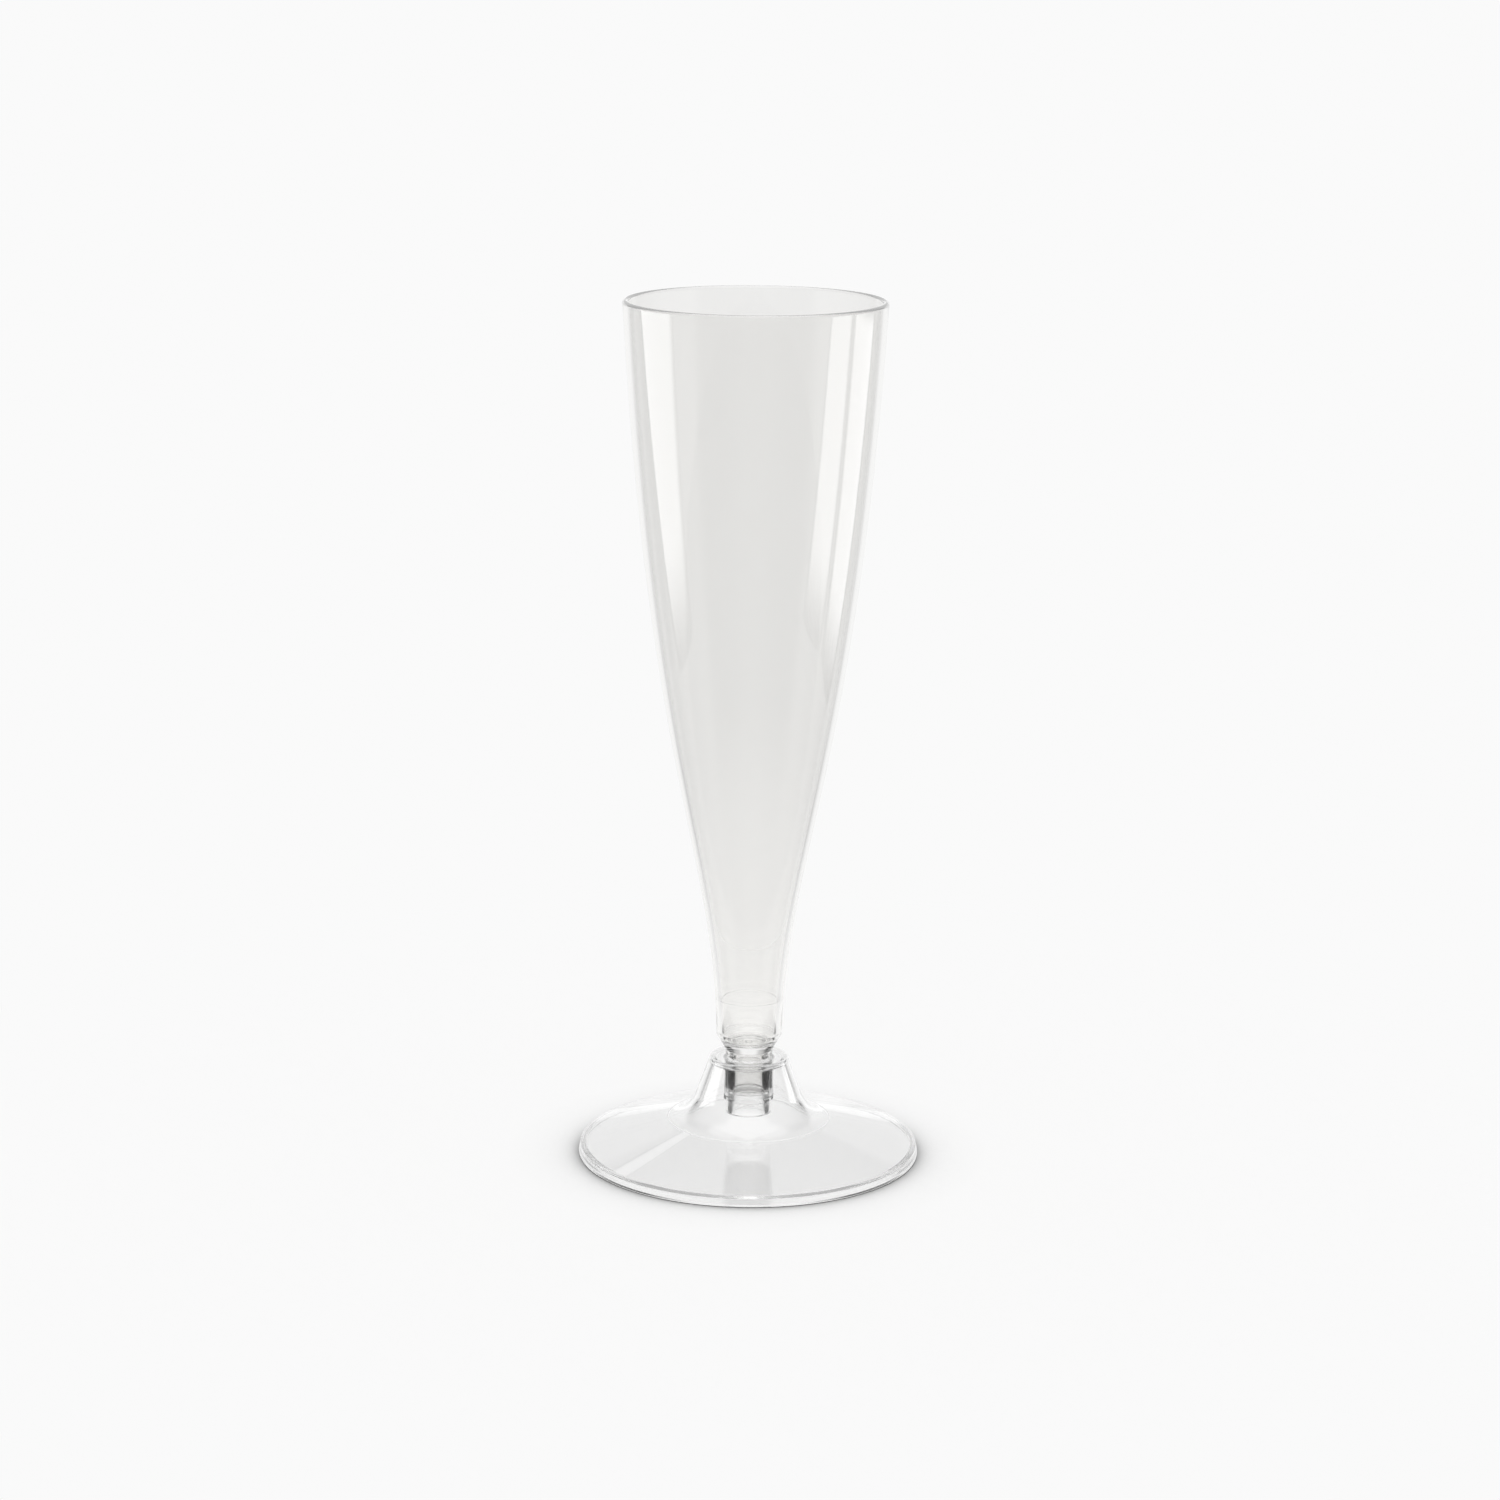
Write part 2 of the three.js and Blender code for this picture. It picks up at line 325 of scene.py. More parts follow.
def foot_outline():
    land_radius = FOOT_RADIUS - LAND_WIDTH
    edge_top = at(FOOT_RADIUS - EDGE_HEIGHT * slope_of(EDGE_LEAN), EDGE_HEIGHT)
    outer_bend = hub_meets_disc(edge_top, 0)
    inner_bend = hub_meets_disc(edge_top, FOOT_WALL)
    underside = inner_bend.y - (land_radius - inner_bend.x) * slope_of(DISC_SLOPE)
    ceiling = HUB_TOP - FOOT_WALL
    ceiling_radius = inner_bend.x - (ceiling - inner_bend.y) * slope_of(HUB_LEAN)
    ledge = PLUG_END - PLUG_END_CLEARANCE
    collar_radius = BORE_RADIUS + SOCKET_WALL
    collar_end = ledge - SOCKET_COLLAR
    tail_radius = collar_radius - SOCKET_TAIL_STEP
    tail_end = collar_end - SOCKET_TAIL
    drain_radius = BORE_RADIUS - SOCKET_LEDGE
    return with_fine_ring(rounded_run([
        (at(BORE_RADIUS, HUB_TOP), SOCKET_EDGE),
        (at(BORE_RADIUS, ledge), SOCKET_EDGE),
        (at(drain_radius, ledge), SOCKET_EDGE),
        (at(drain_radius, tail_end), SOCKET_ROUNDING),
        (at(tail_radius, tail_end), SOCKET_ROUNDING),
        (at(tail_radius, collar_end), SOCKET_EDGE),
        (at(collar_radius, collar_end), SOCKET_ROUNDING),
        (at(collar_radius, ceiling), SOCKET_ROUNDING),
        (at(ceiling_radius, ceiling), HUB_ROUNDING),
        (inner_bend, HUB_FLARE + FOOT_WALL, FLARE_STEPS),
        (at(land_radius, underside), LAND_ROUNDING),
        (at(land_radius, 0), LAND_ROUNDING),
        (at(FOOT_RADIUS, 0), LAND_ROUNDING),
        (edge_top, EDGE_ROUNDING),
        (outer_bend, HUB_FLARE, FLARE_STEPS),
        (at(HUB_TOP_RADIUS, HUB_TOP), HUB_ROUNDING),
    ], closed=True))


foot = turned_piece("clear_foot", foot_outline(), closed=True)
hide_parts("push_on_foot")
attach(foot, "foot")

# %% [markdown]
# ## Short words for nodes
# Every finish below is a small net of nodes. They could be placed by hand in the shader editor.
# In a script each node takes several lines, so a few helpers say the common ones in one line.

# %% Helpers for node trees


def wire(tree, kind, values=None, **settings):
    """Adds a node, sets its options, and sets or links its inputs by name or number."""
    node = tree.nodes.new(kind)
    for name, value in settings.items():
        setattr(node, name, value)
    for name, value in (values or {}).items():
        if isinstance(value, bpy.types.NodeSocket):
            tree.links.new(value, node.inputs[name])
        else:
            node.inputs[name].default_value = value
    return node


def maths(tree, operation, first, second=0.0):
    """The result of one operation on two numbers."""
    return wire(tree, "ShaderNodeMath", {0: first, 1: second}, operation=operation).outputs[0]


def blend(tree, share, first, second):
    """The first number where the share is 0, and the second where it is 1."""
    return wire(tree, "ShaderNodeMix", {"Factor": share, 2: first, 3: second}).outputs[0]


def eased(tree, value, start, end, first=0.0, last=1.0):
    """Goes smoothly from the first number to the last while the value goes from start to end."""
    return wire(tree, "ShaderNodeMapRange", {
        "Value": value, "From Min": start, "From Max": end, "To Min": first, "To Max": last,
    }, interpolation_type="SMOOTHSTEP").outputs[0]


def length_of(tree, vector):
    return wire(tree, "ShaderNodeVectorMath", {0: vector}, operation="LENGTH").outputs["Value"]


# %% [markdown]
# ## Marks of the moulding
# Plastic runs from the gate along the wall and freezes as it goes, which leaves very faint streaks
# and swells along the run. A wave texture would be too even. A noise stretched along the run, found
# from the angle round the axis and the way from the gate, is as uneven as the real marks. Both
# mouldings have them, so they are one node group.

# %% A helper for node groups


def new_group(name, inputs, outputs):
    """A shader node group with named number inputs, their first values, and named outputs."""
    group = bpy.data.node_groups.new(name, "ShaderNodeTree")
    for label, value in inputs.items():
        socket = group.interface.new_socket(label, in_out="INPUT", socket_type="NodeSocketFloat")
        socket.default_value = value
    for label in outputs:
        group.interface.new_socket(label, in_out="OUTPUT", socket_type="NodeSocketFloat")
    return group, group.nodes.new("NodeGroupInput"), group.nodes.new("NodeGroupOutput")


# %% The node group of flow streaks
STREAK_DETAIL = 3.0
FINE_DETAIL = 2.0
FINE_TIMES = 2.7
flow_group, given, result = new_group(
    "flow_streaks", {"Streaks": 14.0, "Swells per metre": 30.0}, ["Height", "Streak"],
)
place = wire(flow_group, "ShaderNodeTexCoord").outputs["Object"]
parts = wire(flow_group, "ShaderNodeSeparateXYZ", {0: place}).outputs
level = wire(flow_group, "ShaderNodeCombineXYZ", {0: parts["X"], 1: parts["Y"]}).outputs[0]
outward = wire(flow_group, "ShaderNodeVectorMath", {0: level}, operation="NORMALIZE").outputs["Vector"]
around = wire(
    flow_group, "ShaderNodeVectorMath", {0: outward, "Scale": given.outputs["Streaks"]}, operation="SCALE",
).outputs["Vector"]
run = maths(flow_group, "ADD", length_of(flow_group, level), parts["Z"])
along = maths(flow_group, "MULTIPLY", run, given.outputs["Swells per metre"])
rise = wire(flow_group, "ShaderNodeCombineXYZ", {"Z": along}).outputs[0]
where = wire(flow_group, "ShaderNodeVectorMath", {0: around, 1: rise}, operation="ADD").outputs["Vector"]
streaks = wire(
    flow_group, "ShaderNodeTexNoise", {"Vector": where, "Scale": 1.0, "Detail": STREAK_DETAIL},
).outputs[0]
fine_where = wire(
    flow_group, "ShaderNodeVectorMath", {0: where, "Scale": FINE_TIMES}, operation="SCALE",
).outputs["Vector"]
fine = wire(
    flow_group, "ShaderNodeTexNoise", {"Vector": fine_where, "Scale": 1.0, "Detail": FINE_DETAIL},
).outputs[0]
flow_group.links.new(streaks, result.inputs["Height"])
flow_group.links.new(fine, result.inputs["Streak"])
print("node group flow_streaks made")

# %% [markdown]
# ## Marks of handling
# A new glass is polished, but stacking and fingers leave patches that are a little less clear. They
# could be painted on by hand. A broad noise that turns into a roughness between a polished and a hazy
# value needs no painting. It is one more node group, and both mouldings use it.

# %% The node group of handling haze
HAZE_DETAIL = 4.0
HAZE_STARTS = 0.5
HAZE_FULL = 0.8
haze_group, given, result = new_group(
    "handling_haze", {"Patches per metre": 60.0, "Polished": 0.01, "Hazy": 0.05}, ["Roughness"],
)
place = wire(haze_group, "ShaderNodeTexCoord").outputs["Object"]
patches = wire(
    haze_group, "ShaderNodeTexNoise",
    {"Vector": place, "Scale": given.outputs["Patches per metre"], "Detail": HAZE_DETAIL},
).outputs[0]
roughness = wire(haze_group, "ShaderNodeMapRange", {
    "Value": patches, "From Min": HAZE_STARTS, "From Max": HAZE_FULL,
    "To Min": given.outputs["Polished"], "To Max": given.outputs["Hazy"],
}).outputs[0]
haze_group.links.new(roughness, result.inputs["Roughness"])
print("node group handling_haze made")

# %% [markdown]
# ## Clear plastic
# The mouldings are clear polystyrene, which bends light more than glass does. A Glass shader would
# do for one picture. The Principled shader says the same with Transmission, and it carries over to
# other programs. The base colour is almost white, and only the faint warmth of the plastic varies.
# Light that is caught inside an edge leaks out a little at every turn. A renderer drops it and leaves
# a black line, so light that has turned many times is given a faint painted glow instead.

# %% The two finishes
POLYSTYRENE_IOR = 1.59
TRAPPED_BOUNCES = 14
PAINTED_GLOW = 0.035


def clear_plastic(name, clearest, deepest, streaks, swells, ripple, polished, hazy):
    """Clear moulded plastic, with its own tint, flow marks and polish."""
    material = bpy.data.materials.new(name)
    material.use_nodes = True
    tree = material.node_tree
    tree.nodes.clear()
    flow = wire(
        tree, "ShaderNodeGroup", {"Streaks": streaks, "Swells per metre": swells}, node_tree=flow_group,
    )
    haze = wire(tree, "ShaderNodeGroup", {"Polished": polished, "Hazy": hazy}, node_tree=haze_group)
    tint = wire(
        tree, "ShaderNodeMix", {"Factor": flow.outputs["Streak"], 6: (*clearest, 1), 7: (*deepest, 1)},
        data_type="RGBA",
    )
    bump = wire(
        tree, "ShaderNodeBump", {"Height": flow.outputs["Height"], "Strength": 1.0, "Distance": ripple},
    )
    # Painted glow: light that has bounced more than TRAPPED_BOUNCES times gets a faint emission from the
    # plastic itself, in place of the light that leaks out of its edges.
    depth = wire(tree, "ShaderNodeLightPath").outputs["Ray Depth"]
    trapped = maths(tree, "GREATER_THAN", depth, TRAPPED_BOUNCES)
    plastic = wire(tree, "ShaderNodeBsdfPrincipled", {
        "Base Color": tint.outputs[2],
        "Roughness": haze.outputs["Roughness"],
        "Emission Strength": maths(tree, "MULTIPLY", trapped, PAINTED_GLOW),
        "Normal": bump.outputs["Normal"],
        "Transmission Weight": 1.0,
        "IOR": POLYSTYRENE_IOR,
    })
    wire(tree, "ShaderNodeOutputMaterial", {"Surface": plastic.outputs[0]})
    return material


flute.data.materials.append(clear_plastic(
    "warm_clear_plastic", clearest=(0.99, 0.987, 0.977), deepest=(0.975, 0.971, 0.96),
    streaks=14.0, swells=30.0, ripple=0.004 * MM, polished=0.0, hazy=0.03,
))
foot.data.materials.append(clear_plastic(
    "clear_plastic", clearest=(1.0, 1.0, 0.999), deepest=(0.99, 0.99, 0.989),
    streaks=10.0, swells=60.0, ripple=0.004 * MM, polished=0.0, hazy=0.03,
))
print("finishes:", [piece.active_material.name for piece in (flute, foot)])

# %% [markdown]
# ## Where light has been
# Clear things show their shape by what they mirror and bend into view. Light that went straight
# through the thin walls should show the white background, and light that was thrown to and fro, as
# in the plug inside its socket, should find the dark room. Real boards and cards would be moved
# about until that is so. The Light Path node gives the same choice: it counts how many surfaces
# light has crossed and how often it was mirrored, on its way back from the camera.

# %% Helpers that ask where light has been
# The counts are whole numbers, so each limit lies halfway between two of them.
ONCE = 0.5
BOWL_CROSSINGS = 4.5
LOST_CROSSINGS = 8.5


def crossed_more_than(tree, ray, crossings):
    """1 for light that has crossed more surfaces than that, and 0 for other light."""
    return maths(tree, "GREATER_THAN", ray["Transmission Depth"], crossings)


def kept_between_walls(tree, ray):
    """0 for light that was mirrored and has crossed very many surfaces, and 1 for other light."""
    mirrored = maths(tree, "GREATER_THAN", ray["Glossy Depth"], ONCE)
    lost = maths(tree, "MULTIPLY", mirrored, crossed_more_than(tree, ray, LOST_CROSSINGS))
    return maths(tree, "SUBTRACT", 1.0, lost)


def came_straight(tree, ray):
    """1 for light seen through the plastic that was never mirrored and has crossed few surfaces."""
    never_mirrored = maths(tree, "LESS_THAN", ray["Glossy Depth"], ONCE)
    few_crossings = maths(tree, "LESS_THAN", ray["Transmission Depth"], BOWL_CROSSINGS)
    straight = maths(tree, "MULTIPLY", never_mirrored, few_crossings)
    return maths(tree, "MULTIPLY", straight, ray["Is Transmission Ray"])


# %% [markdown]
# ## Behind, beside and in front
# A white backdrop hangs behind the glass, the camera stands in front, and both sides are dark. The
# angle of a way could be worked out with an arctangent. Its cosine is enough to tell whether the way
# lies inside a spread of angles.

# %% Helpers that find ways
BACKDROP_SPREAD = 34
FRONT_SPREAD = 55
SIDE_SOFTNESS = 6


def within(tree, cosine, spread):
    """1 where a cosine belongs to an angle inside the spread, 0 outside it, with a soft edge."""
    outside = math.cos(math.radians(spread + SIDE_SOFTNESS))
    inside = math.cos(math.radians(spread - SIDE_SOFTNESS))
    return eased(tree, cosine, outside, inside)


def behind_and_in_front(tree, offset):
    """Whether an offset from the glass points to the backdrop, and whether it points to the front."""
    parts = wire(tree, "ShaderNodeSeparateXYZ", {0: offset}).outputs
    level = wire(tree, "ShaderNodeCombineXYZ", {0: parts["X"], 1: parts["Y"]}).outputs[0]
    heading = wire(tree, "ShaderNodeVectorMath", {0: level}, operation="NORMALIZE").outputs["Vector"]
    backward = wire(tree, "ShaderNodeSeparateXYZ", {0: heading}).outputs["Y"]
    forward = maths(tree, "MULTIPLY", backward, -1.0)
    return within(tree, backward, BACKDROP_SPREAD), within(tree, forward, FRONT_SPREAD)


def without(tree, first, second):
    """What is left of the first share when the second is taken away."""
    return maths(tree, "MAXIMUM", maths(tree, "SUBTRACT", first, second), 0.0)


# %% [markdown]
# ## The white sheet
# The glass stands on a white sheet. A curved sweep of paper would reach up behind it. Here a small
# round sheet fades into the white of the background, so no edge or bend of it can show.

# %% A round sheet
SHEET_RADIUS = 190 * MM
SHEET_SIDES = 128
SHEET_DROP = 0.05 * MM
sheet_mesh = bpy.data.meshes.new("white_sheet")
work = bmesh.new()
bmesh.ops.create_circle(work, cap_ends=True, radius=SHEET_RADIUS, segments=SHEET_SIDES)
work.to_mesh(sheet_mesh)
work.free()
sheet = bpy.data.objects.new("white_sheet", sheet_mesh)
sheet.location.z = foot_low.z - SHEET_DROP
bpy.context.scene.collection.objects.link(sheet)
print(f"sheet {2 * SHEET_RADIUS / MM:.0f} mm across")

# %% [markdown]
# ## Where the foot meets the sheet
# Clear plastic hardly shades the sheet. What shows is a soft dark line where the foot comes close to
# it. More shadow from a lamp would also darken the sheet under the clear disc. The Ambient Occlusion
# node finds the places that are close to the foot, and only the camera sees them darker.

# %% The contact shadow
WHITE = 0.955
CONTACT_REACH = 14 * MM
CONTACT_SAMPLES = 16
CONTACT_DEPTH = 1.6
paper = bpy.data.materials.new("white_paper")
paper.use_nodes = True
paper.cycles.emission_sampling = "NONE"
tree = paper.node_tree
tree.nodes.clear()
ray = wire(tree, "ShaderNodeLightPath").outputs
open_sky = wire(
    tree, "ShaderNodeAmbientOcclusion", {"Distance": CONTACT_REACH}, samples=CONTACT_SAMPLES,
).outputs["AO"]
shaded = maths(tree, "MULTIPLY", maths(tree, "POWER", open_sky, CONTACT_DEPTH), WHITE)
print(f"contact shadow reaches {CONTACT_REACH / MM:.0f} mm")

# %% [markdown]
# ## The card and the dark stand
# Under the glass lies a white card, on a stand that is dark to the left and right. Light that went
# straight through the plastic sees the card everywhere. Light that was bent sideways lands on the
# stand, which draws the dark sides of the plug and of the hub. Two more objects would show in the
# picture, so the sheet itself takes their place, only for light that comes through the plastic.

# %% The sheet as the plastic shows it
BACKDROP = 0.92
BEHIND = 0.98
CARD_RADIUS = 52 * MM
PATCH_RADIUS = 10 * MM
HUB_CROSSINGS = 3.5
PLUG_CROSSINGS = 5.5
STAND = 0.01
STAND_WIDTH = 85 * MM
STAND_DEPTH = 45 * MM
STAND_EDGE = 6 * MM
STAND_SOFTNESS = 0.1
place = wire(tree, "ShaderNodeTexCoord").outputs["Object"]
distance = length_of(tree, place)
off_card = eased(tree, distance, CARD_RADIUS, CARD_RADIUS + STAND_EDGE)
off_patch = eased(tree, distance, PATCH_RADIUS, PATCH_RADIUS + STAND_EDGE)
uncovered = blend(tree, crossed_more_than(tree, ray, HUB_CROSSINGS), off_card, off_patch)
bare = without(tree, uncovered, came_straight(tree, ray))
oval = wire(
    tree, "ShaderNodeVectorMath", {0: place, 1: (STAND_WIDTH, STAND_DEPTH, 1.0)}, operation="DIVIDE",
).outputs["Vector"]
on_stand = eased(tree, length_of(tree, oval), 1.0 + STAND_SOFTNESS, 1.0 - STAND_SOFTNESS)
stand_reach = maths(tree, "MAXIMUM", on_stand, crossed_more_than(tree, ray, PLUG_CROSSINGS))
behind, in_front = behind_and_in_front(tree, place)
aside = maths(tree, "SUBTRACT", 1.0, maths(tree, "ADD", behind, in_front))
dark = maths(tree, "MULTIPLY", maths(tree, "MULTIPLY", bare, stand_reach), aside)
card = blend(tree, behind, BACKDROP, BEHIND)
table = blend(tree, dark, card, STAND)
print(f"stand {2 * STAND_WIDTH / MM:.0f} mm wide and {2 * STAND_DEPTH / MM:.0f} mm deep")

# %% [markdown]
# ## The shadow of the plug
# The plug and its socket are the one place where much plastic stands in the light, and their shadow
# falls forward on the sheet, where it shows through the front of the foot. A lamp would need very
# many samples to throw it through clear plastic. It is a bar with a round end, so it is drawn as one:
# the distance from a line that starts in front of the socket and runs forward.

# %% A soft bar on the sheet
SHADOW = 0.85
SHADOW_WIDTH = 4.4 * MM
SHADOW_START = -15 * MM
SHADOW_STRETCH = 1.5
SHADOW_EDGE = 1 * MM
ends = wire(tree, "ShaderNodeSeparateXYZ", {0: place}).outputs
before = maths(tree, "SUBTRACT", ends["Y"], SHADOW_START)
past = maths(tree, "MAXIMUM", maths(tree, "DIVIDE", before, SHADOW_STRETCH), 0.0)
gap = wire(tree, "ShaderNodeCombineXYZ", {0: ends["X"], 1: past}).outputs[0]
shadow = eased(
    tree, length_of(tree, gap), SHADOW_WIDTH - SHADOW_EDGE, SHADOW_WIDTH + SHADOW_EDGE, SHADOW, 1.0,
)
shaded_table = maths(tree, "MULTIPLY", table, shadow)
through = maths(tree, "MULTIPLY", kept_between_walls(tree, ray), shaded_table)
print(f"shadow {2 * SHADOW_WIDTH / MM:.1f} mm wide")

# %% [markdown]
# ## The paper
# White paper is matt, so its face is a Diffuse shader. The camera sees its contact shadow, and the
# plastic shows the card and the stand through itself, and mirrors plain white. A picture of a sheet
# could be put on it, but the paper has no marks that show. Away from the glass the paper turns into
# the white of the background for the camera, and ends for all other light.

# %% The finish of the sheet
SHEET_FADE = 50 * MM
plain = blend(tree, ray["Is Camera Ray"], WHITE, shaded)
shade = blend(tree, ray["Is Transmission Ray"], plain, through)
grey = wire(tree, "ShaderNodeCombineColor", {0: shade, 1: shade, 2: shade}).outputs[0]
matt = wire(tree, "ShaderNodeBsdfDiffuse", {"Color": grey}).outputs[0]
white = wire(tree, "ShaderNodeEmission", {"Strength": WHITE}).outputs[0]
clear = wire(tree, "ShaderNodeBsdfTransparent").outputs[0]
mirrored = maths(tree, "SUBTRACT", ray["Is Glossy Ray"], ray["Is Transmission Ray"])
near = wire(tree, "ShaderNodeMixShader", {"Fac": mirrored, 1: matt, 2: white}).outputs[0]
far = wire(tree, "ShaderNodeMixShader", {"Fac": ray["Is Camera Ray"], 1: clear, 2: white}).outputs[0]
faded = eased(tree, distance, SHEET_FADE, SHEET_RADIUS)
surface = wire(tree, "ShaderNodeMixShader", {"Fac": faded, 1: near, 2: far}).outputs[0]
wire(tree, "ShaderNodeOutputMaterial", {"Surface": surface})
sheet_mesh.materials.append(paper)
print("finish:", sheet.active_material.name)

# %% [markdown]
# ## The dark room
# Clear things are photographed in a dark room, so that they mirror little. A room of real walls
# would be several more objects. The world holds all of it as a brightness for each way: dim above,
# almost black at the sides, and a floor that is dim in front and lighter at the sides. Light that
# has crossed the plug finds the room black.

# %% The room and its floor
ROOM = 0.12
DARK_SIDE = 0.03
NARROW = 0.35
WIDE = 0.65
DIM_FLOOR = 0.3
SIDE_FLOOR = 0.6
world = bpy.data.worlds.new("white_studio")
bpy.context.scene.world = world
world.use_nodes = True
tree = world.node_tree
tree.nodes.clear()
ray = wire(tree, "ShaderNodeLightPath").outputs
towards = wire(tree, "ShaderNodeTexCoord").outputs["Generated"]
ways = wire(tree, "ShaderNodeSeparateXYZ", {0: towards}).outputs
upward = ways["Z"]
behind, in_front = behind_and_in_front(tree, towards)
at_side = eased(tree, maths(tree, "ABSOLUTE", ways["X"]), NARROW, WIDE)
above = blend(tree, at_side, ROOM, DARK_SIDE)
below_horizon = maths(tree, "LESS_THAN", upward, 0.0)
dim_floor = blend(tree, in_front, SIDE_FLOOR, DIM_FLOOR)
open_room = blend(tree, below_horizon, above, dim_floor)
room = blend(tree, crossed_more_than(tree, ray, PLUG_CROSSINGS), open_room, 0.0)
print("room made")

# %% [markdown]
# ## The backdrop
# The white backdrop hangs behind the glass. In mirrors it ends a little above the horizon, and the
# grey wall above it gets darker upward: that is the line across the foot between its pale back and
# its grey front. Through the plastic the backdrop reaches higher, and light that came straight sees
# it on every side, so the glass is as clear from the back as from the front.

# %% The backdrop and the wall above it
MIRRORED_BACKDROP = 1.2
BACKDROP_TOP = 0.11
SEEN_TOP = 0.5
TOP_SOFTNESS = 0.03
LOW_WALL = 0.8
HIGH_WALL = 0.35
WALL_TOP = 0.8
top = blend(tree, ray["Is Transmission Ray"], BACKDROP_TOP, SEEN_TOP)
low = eased(tree, maths(tree, "SUBTRACT", top, upward), -TOP_SOFTNESS, TOP_SOFTNESS)
mirrored = blend(tree, below_horizon, MIRRORED_BACKDROP, WHITE)
white = blend(tree, ray["Is Transmission Ray"], mirrored, BACKDROP)
wall = wire(tree, "ShaderNodeMapRange", {
    "Value": upward, "From Min": BACKDROP_TOP, "From Max": WALL_TOP,
    "To Min": LOW_WALL, "To Max": HIGH_WALL,
}).outputs[0]
back = blend(tree, low, wall, white)
shows_backdrop = maths(tree, "MAXIMUM", behind, came_straight(tree, ray))
around = blend(tree, shows_backdrop, room, back)
print("backdrop made")

# %% [markdown]
# ## The box above
# A soft box hangs above the glass, a little towards the camera. It lights the flare round the socket,
# which mirrors what is overhead. An area lamp would do, but then its edges would show in the plastic.
# As part of the world it has soft edges, and leaves the dark sides as they are.

# %% The soft box, and all that the plastic shows
BOX = 0.9
BOX_ELEVATION = math.radians(75)
BOX_SPREAD = 45
box_middle = (0.0, -math.cos(BOX_ELEVATION), math.sin(BOX_ELEVATION))
from_box = wire(
    tree, "ShaderNodeVectorMath", {0: towards, 1: box_middle}, operation="DOT_PRODUCT",
).outputs["Value"]
in_box = without(tree, within(tree, from_box, BOX_SPREAD), at_side)
studio = blend(tree, in_box, around, BOX)
shown = maths(tree, "MULTIPLY", studio, kept_between_walls(tree, ray))
print("box made")

# %% [markdown]
# ## Who sees the studio
# The camera sees plain white. The plastic mirrors and bends the studio into view. The paper is lit by
# an even sky instead, so that the dark room does not make it grey.

# %% The world
SKY = 1.0
pictured = blend(tree, ray["Is Camera Ray"], shown, WHITE)
by_plastic = maths(tree, "MAXIMUM", ray["Is Glossy Ray"], ray["Is Transmission Ray"])
direct = maths(tree, "MAXIMUM", by_plastic, ray["Is Camera Ray"])
before_paper = maths(tree, "LESS_THAN", ray["Diffuse Depth"], ONCE)
in_picture = maths(tree, "MULTIPLY", direct, before_paper)
brightness = blend(tree, in_picture, SKY, pictured)
background = wire(tree, "ShaderNodeBackground", {"Color": (1, 1, 1, 1), "Strength": brightness}).outputs[0]
wire(tree, "ShaderNodeOutputWorld", {"Surface": background})
print(f"world {world.name} made")

# %% [markdown]
# ## Soft panels
# The long white strips on the bowl are tall soft panels at its sides, mirrored in its walls, and the
# streak on the left of the foot is a bar of light high up behind it. Area lamps would light the sheet
# as well. Glowing planes that only mirrors can see give the strips alone, and a glow that fades
# towards their edges gives the strips their soft ends.

# %% The light of a panel
PANEL_FADE = 0.32
PANEL_TOP_FADE = 0.1
PANEL_EDGE = 0.14
MIDDLE = 0.5


def soft_light(name, light):
    """Light that fades towards the edges of a panel, and most of all towards its foot."""
    material = bpy.data.materials.new(name)
    material.use_nodes = True
    material.cycles.emission_sampling = "NONE"
    tree = material.node_tree
    tree.nodes.clear()
    spread = wire(tree, "ShaderNodeTexCoord").outputs["UV"]
    across = wire(tree, "ShaderNodeSeparateXYZ", {0: spread}).outputs
    off_middle = maths(tree, "ABSOLUTE", maths(tree, "SUBTRACT", across["X"], MIDDLE))
    sideways = eased(tree, off_middle, MIDDLE, MIDDLE - PANEL_EDGE, 0.0, light)
    from_foot = eased(tree, across["Y"], 0.0, PANEL_FADE)
    from_top = eased(tree, across["Y"], 1.0, 1.0 - PANEL_TOP_FADE)
    strength = maths(tree, "MULTIPLY", sideways, maths(tree, "MULTIPLY", from_foot, from_top))
    lit = wire(tree, "ShaderNodeEmission", {"Strength": strength}).outputs[0]
    wire(tree, "ShaderNodeOutputMaterial", {"Surface": lit})
    return material


# %% The panels
PANEL_DISTANCE = 540 * MM
PANEL_FOOT = -125 * MM
PANEL_LIGHT = 3.0
LEFT_TOP = 165 * MM
RIGHT_TOP = 92 * MM
BAR_DISTANCE = 1000 * MM
BAR_FOOT = 680 * MM
BAR_TOP = 800 * MM
BAR_LIGHT = 1.2
LEFT_AZIMUTHS = (-73, -101, -123, -75)
FRONT_RIGHT_AZIMUTHS = (57, 86, 92, 68)
BACK_RIGHT_AZIMUTHS = (89, 117, 124, 93)
BAR_AZIMUTHS = (-158, -174, -174, -158)
UV_CORNERS = ((0, 0), (1, 0), (1, 1), (0, 1))


def soft_panel(name, azimuths, foot, top, distance=PANEL_DISTANCE, light=PANEL_LIGHT):
    """An upright panel. Azimuths run from the camera to the right, and go round its corners."""
    corners = []
    for azimuth, height in zip(azimuths, (foot, foot, top, top)):
        turn = math.radians(azimuth)
        corners.append((distance * math.sin(turn), -distance * math.cos(turn), height))
    mesh = bpy.data.meshes.new(name)
    mesh.from_pydata(corners, [], [(0, 1, 2, 3)])
    layer = mesh.uv_layers.new()
    for point, corner in zip(layer.uv, UV_CORNERS):
        point.vector = corner
    mesh.materials.append(soft_light(name, light))
    panel = bpy.data.objects.new(name, mesh)
    bpy.context.scene.collection.objects.link(panel)
    panel.visible_camera = False
    panel.visible_diffuse = False
    panel.visible_shadow = False
    panel.visible_transmission = False
    print(f"{name}: {(top - foot) / MM:.0f} mm tall, {distance / MM:.0f} mm away")


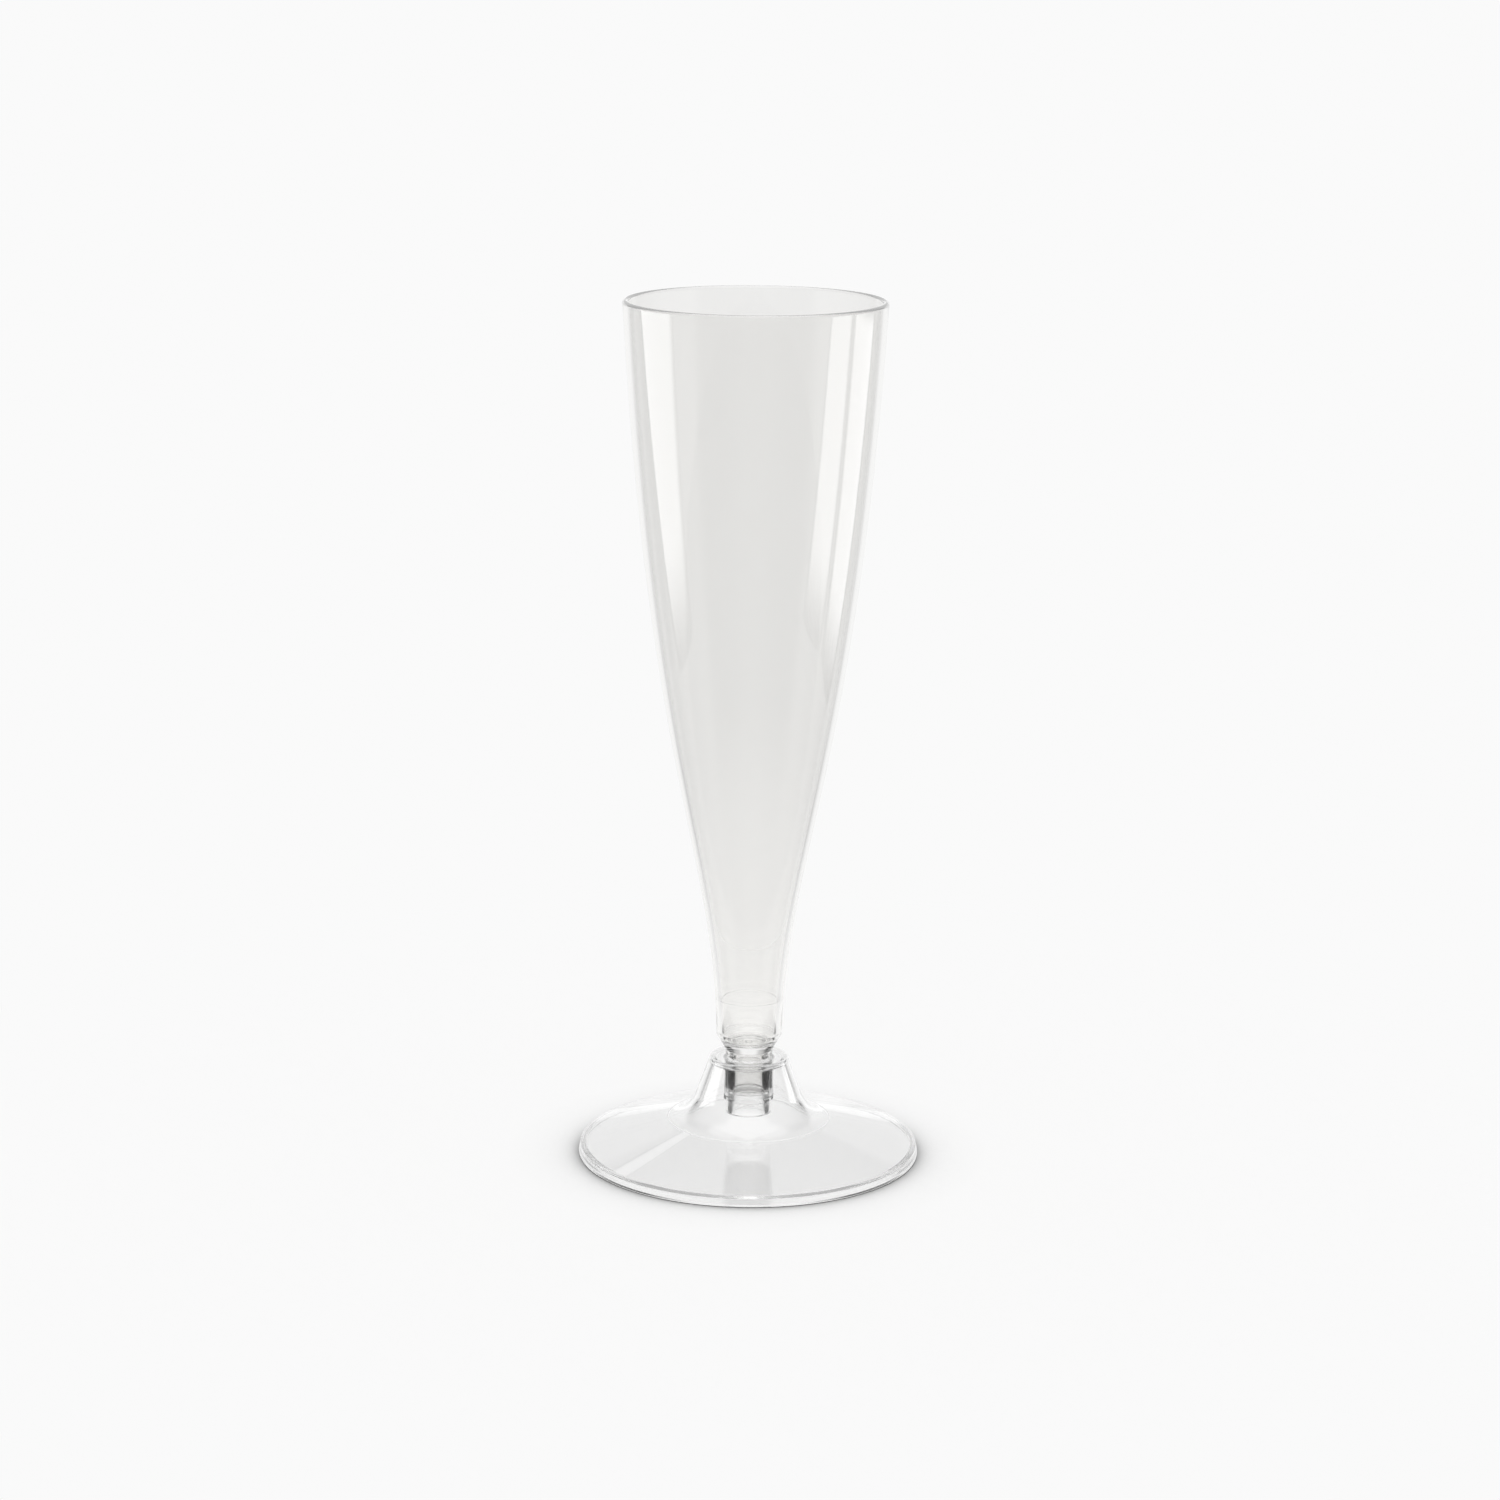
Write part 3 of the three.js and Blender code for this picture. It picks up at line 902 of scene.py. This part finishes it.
soft_panel("left_panel", LEFT_AZIMUTHS, PANEL_FOOT, LEFT_TOP)
soft_panel("front_right_panel", FRONT_RIGHT_AZIMUTHS, PANEL_FOOT, RIGHT_TOP)
soft_panel("back_right_panel", BACK_RIGHT_AZIMUTHS, PANEL_FOOT, RIGHT_TOP)
soft_panel("back_left_panel", BAR_AZIMUTHS, BAR_FOOT, BAR_TOP, BAR_DISTANCE, BAR_LIGHT)

# %% [markdown]
# ## Camera
# The photograph was taken from a little above the rim, with a long lens. The camera could be aimed
# with a Track To constraint. Its place and turn were worked out from the ellipses of the rim and of
# the foot, so they are set as they are. The picture leans by half a degree, so the camera rolls.

# %% The camera
LENS = 93.13
SENSOR = 36.0
CAMERA_DISTANCE = 737.3 * MM
CAMERA_HEIGHT = 255.8 * MM
CAMERA_SIDE = -0.33 * MM
CAMERA_PITCH = 13.254
CAMERA_ROLL = 0.524
camera_data = bpy.data.cameras.new("camera")
camera_data.lens = LENS
camera_data.sensor_width = SENSOR
camera = bpy.data.objects.new("camera", camera_data)
bpy.context.scene.collection.objects.link(camera)
camera_place = Matrix.Translation((CAMERA_SIDE, -CAMERA_DISTANCE, CAMERA_HEIGHT))
aim = Matrix.Rotation(math.radians(90 - CAMERA_PITCH), 4, "X")
roll = Matrix.Rotation(math.radians(CAMERA_ROLL), 4, "Z")
camera.matrix_world = camera_place @ aim @ roll
bpy.context.scene.camera = camera
bpy.context.scene.view_settings.view_transform = "Standard"
print(f"camera {CAMERA_DISTANCE / MM:.0f} mm in front and {CAMERA_HEIGHT / MM:.0f} mm up")

# %% [markdown]
# ## Bounces
# On its way through the hub, the socket and the plug, light crosses about twelve surfaces, and is
# mirrored between them. Blender gives up after 12 bounces, which leaves black patches, so the limits
# are higher here. Filter Glossy would blur what is mirrored inside the plastic, so it is off.

# %% Limits of the bounces
BOUNCES = 40
CROSSINGS = 28
MIRRORINGS = 26
cycles = bpy.context.scene.cycles
cycles.max_bounces = BOUNCES
cycles.transmission_bounces = CROSSINGS
cycles.glossy_bounces = MIRRORINGS
cycles.blur_glossy = 0.0
print(f"up to {BOUNCES} bounces")
